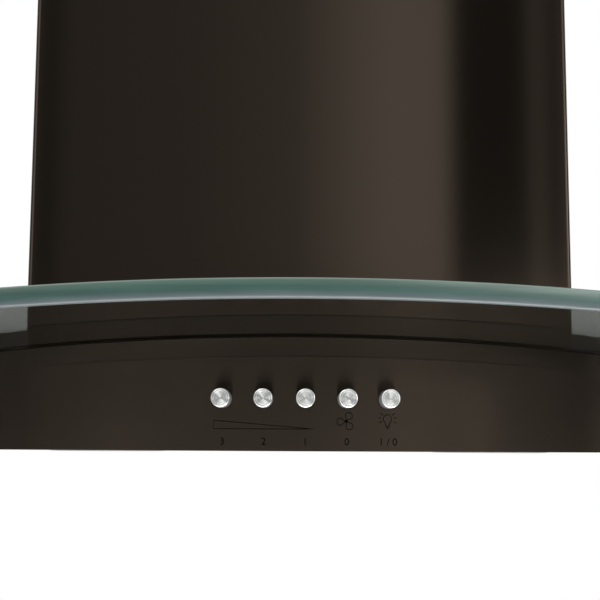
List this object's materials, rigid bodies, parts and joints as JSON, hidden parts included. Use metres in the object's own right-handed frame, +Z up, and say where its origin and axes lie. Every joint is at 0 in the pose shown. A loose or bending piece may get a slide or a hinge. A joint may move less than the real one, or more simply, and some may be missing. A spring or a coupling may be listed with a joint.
{
  "type": "wall mount range hood",
  "caption": "Wall mount range hood in black stainless with an arched glass canopy, curved push button panel, telescoping duct cover, hinged grease filters, lamps and blower.",
  "frame": {"origin": "middle of the four wall fixings, on the wall plane", "axes": "+Y into the wall, -Y towards the cook, +Z up, +X to the right as seen from the front"},
  "size_m": [0.76, 0.5, 0.6356],
  "materials": {
    "black_steel": "black stainless, fine upright brush, satin",
    "black_paint": "satin black paint",
    "galvanised": "galvanised sheet, dull with a soft spangle",
    "canopy_glass": "toughened clear glass with a green edge",
    "rubber": "matt black",
    "button_metal": "turned face, bright bevel",
    "switch_plastic": "moulded, matt",
    "fan_plastic": "moulded, fine grain",
    "aluminium": "mill finish",
    "filter_mesh": "expanded mesh in layers",
    "bright_steel": "bright, fine grain",
    "motor_metal": "grey enamel",
    "lamp_metal": "satin",
    "lamp_glass": "frosted",
    "cap_plastic": "smooth"
  },
  "bodies": {
    "hood": {"front_panel": "black_steel", "hood_shell": "black_steel", "bottom_panel": "black_steel", "back_plate": "galvanised", "blower_case": "galvanised", "glass_canopy": "canopy_glass", "glass_gasket": "rubber", "glass_clamps": "galvanised", "clamp_pads": "rubber", "rear_glass_rail": "black_paint", "lower_duct_cover": "black_steel", "cover_rest_tabs": "galvanised", "cover_brackets": "galvanised", "switch_block": "switch_plastic", "switch_bracket": "galvanised", "blower_housing": "fan_plastic", "inlet_rings": "fan_plastic", "motor": "motor_metal", "motor_mount": "galvanised", "outlet_collar": "fan_plastic", "lamp_housings": "lamp_metal", "lamp_bezels": "bright_steel", "lamp_lenses": "lamp_glass", "terminal_box": "galvanised", "terminal_box_cover": "galvanised", "conduit_bushing": "switch_plastic", "capacitor": "cap_plastic", "clamp_screws": "bright_steel", "collar_screws": "bright_steel", "cover_screws": "black_steel", "bracket_screws": "bright_steel", "panel_nuts": "bright_steel", "case_screws": "bright_steel", "switch_screws": "bright_steel"},
    "button_high": {"button_high": "button_metal"},
    "button_medium": {"button_medium": "button_metal"},
    "button_low": {"button_low": "button_metal"},
    "button_off": {"button_off": "button_metal"},
    "button_light": {"button_light": "button_metal"},
    "impeller": {"impeller": "aluminium", "motor_shaft": "bright_steel"},
    "damper_front": {"damper_flap_front": "aluminium"},
    "damper_rear": {"damper_flap_rear": "aluminium"},
    "filter_left": {"filter_frame_left": "aluminium", "filter_mesh_left": "filter_mesh"},
    "filter_right": {"filter_frame_right": "aluminium", "filter_mesh_right": "filter_mesh"},
    "latch_left": {"filter_latch_left": "bright_steel"},
    "latch_right": {"filter_latch_right": "bright_steel"},
    "upper_cover": {"upper_duct_cover": "black_steel", "ceiling_bracket": "galvanised", "ceiling_screws": "black_steel"}
  },
  "joints": [
    {"name": "press_high", "type": "slide", "parent": "hood", "child": "button_high", "axis": [0.065, 0.9979, 0], "range_m": [0, 0.003], "stiffness_N_per_m": 500},
    {"name": "press_medium", "type": "slide", "parent": "hood", "child": "button_medium", "axis": [0.0302, 0.9995, 0], "range_m": [0, 0.003], "stiffness_N_per_m": 500},
    {"name": "press_low", "type": "slide", "parent": "hood", "child": "button_low", "axis": [-0.0045, 1, 0], "range_m": [0, 0.003], "stiffness_N_per_m": 500},
    {"name": "press_off", "type": "slide", "parent": "hood", "child": "button_off", "axis": [-0.0393, 0.9992, 0], "range_m": [0, 0.003], "stiffness_N_per_m": 500},
    {"name": "press_light", "type": "slide", "parent": "hood", "child": "button_light", "axis": [-0.0741, 0.9973, 0], "range_m": [0, 0.003], "stiffness_N_per_m": 500},
    {"name": "impeller_spin", "type": "hinge", "parent": "hood", "child": "impeller", "pos_m": [0, -0.128, -0.05], "axis": [1, 0, 0], "continuous": true},
    {"name": "damper_front_open", "type": "hinge", "parent": "hood", "child": "damper_front", "pos_m": [0, -0.15636, 0.13], "axis": [-1, 0, 0], "range_deg": [0, 80]},
    {"name": "damper_rear_open", "type": "hinge", "parent": "hood", "child": "damper_rear", "pos_m": [0, -0.14636, 0.13], "axis": [1, 0, 0], "range_deg": [0, 80]},
    {"name": "filter_left_drop", "type": "hinge", "parent": "hood", "child": "filter_left", "pos_m": [0, -0.018, -0.208], "axis": [1, 0, 0], "range_deg": [0, 80]},
    {"name": "filter_right_drop", "type": "hinge", "parent": "hood", "child": "filter_right", "pos_m": [0, -0.018, -0.208], "axis": [1, 0, 0], "range_deg": [0, 80]},
    {"name": "latch_left_draw", "type": "slide", "parent": "filter_left", "child": "latch_left", "axis": [0, 1, 0], "range_m": [0, 0.0055], "stiffness_N_per_m": 300},
    {"name": "latch_right_draw", "type": "slide", "parent": "filter_right", "child": "latch_right", "axis": [0, 1, 0], "range_m": [0, 0.0055], "stiffness_N_per_m": 300},
    {"name": "upper_cover_rise", "type": "slide", "parent": "hood", "child": "upper_cover", "axis": [0, 0, 1], "range_m": [0, 0.38]}
  ]
}
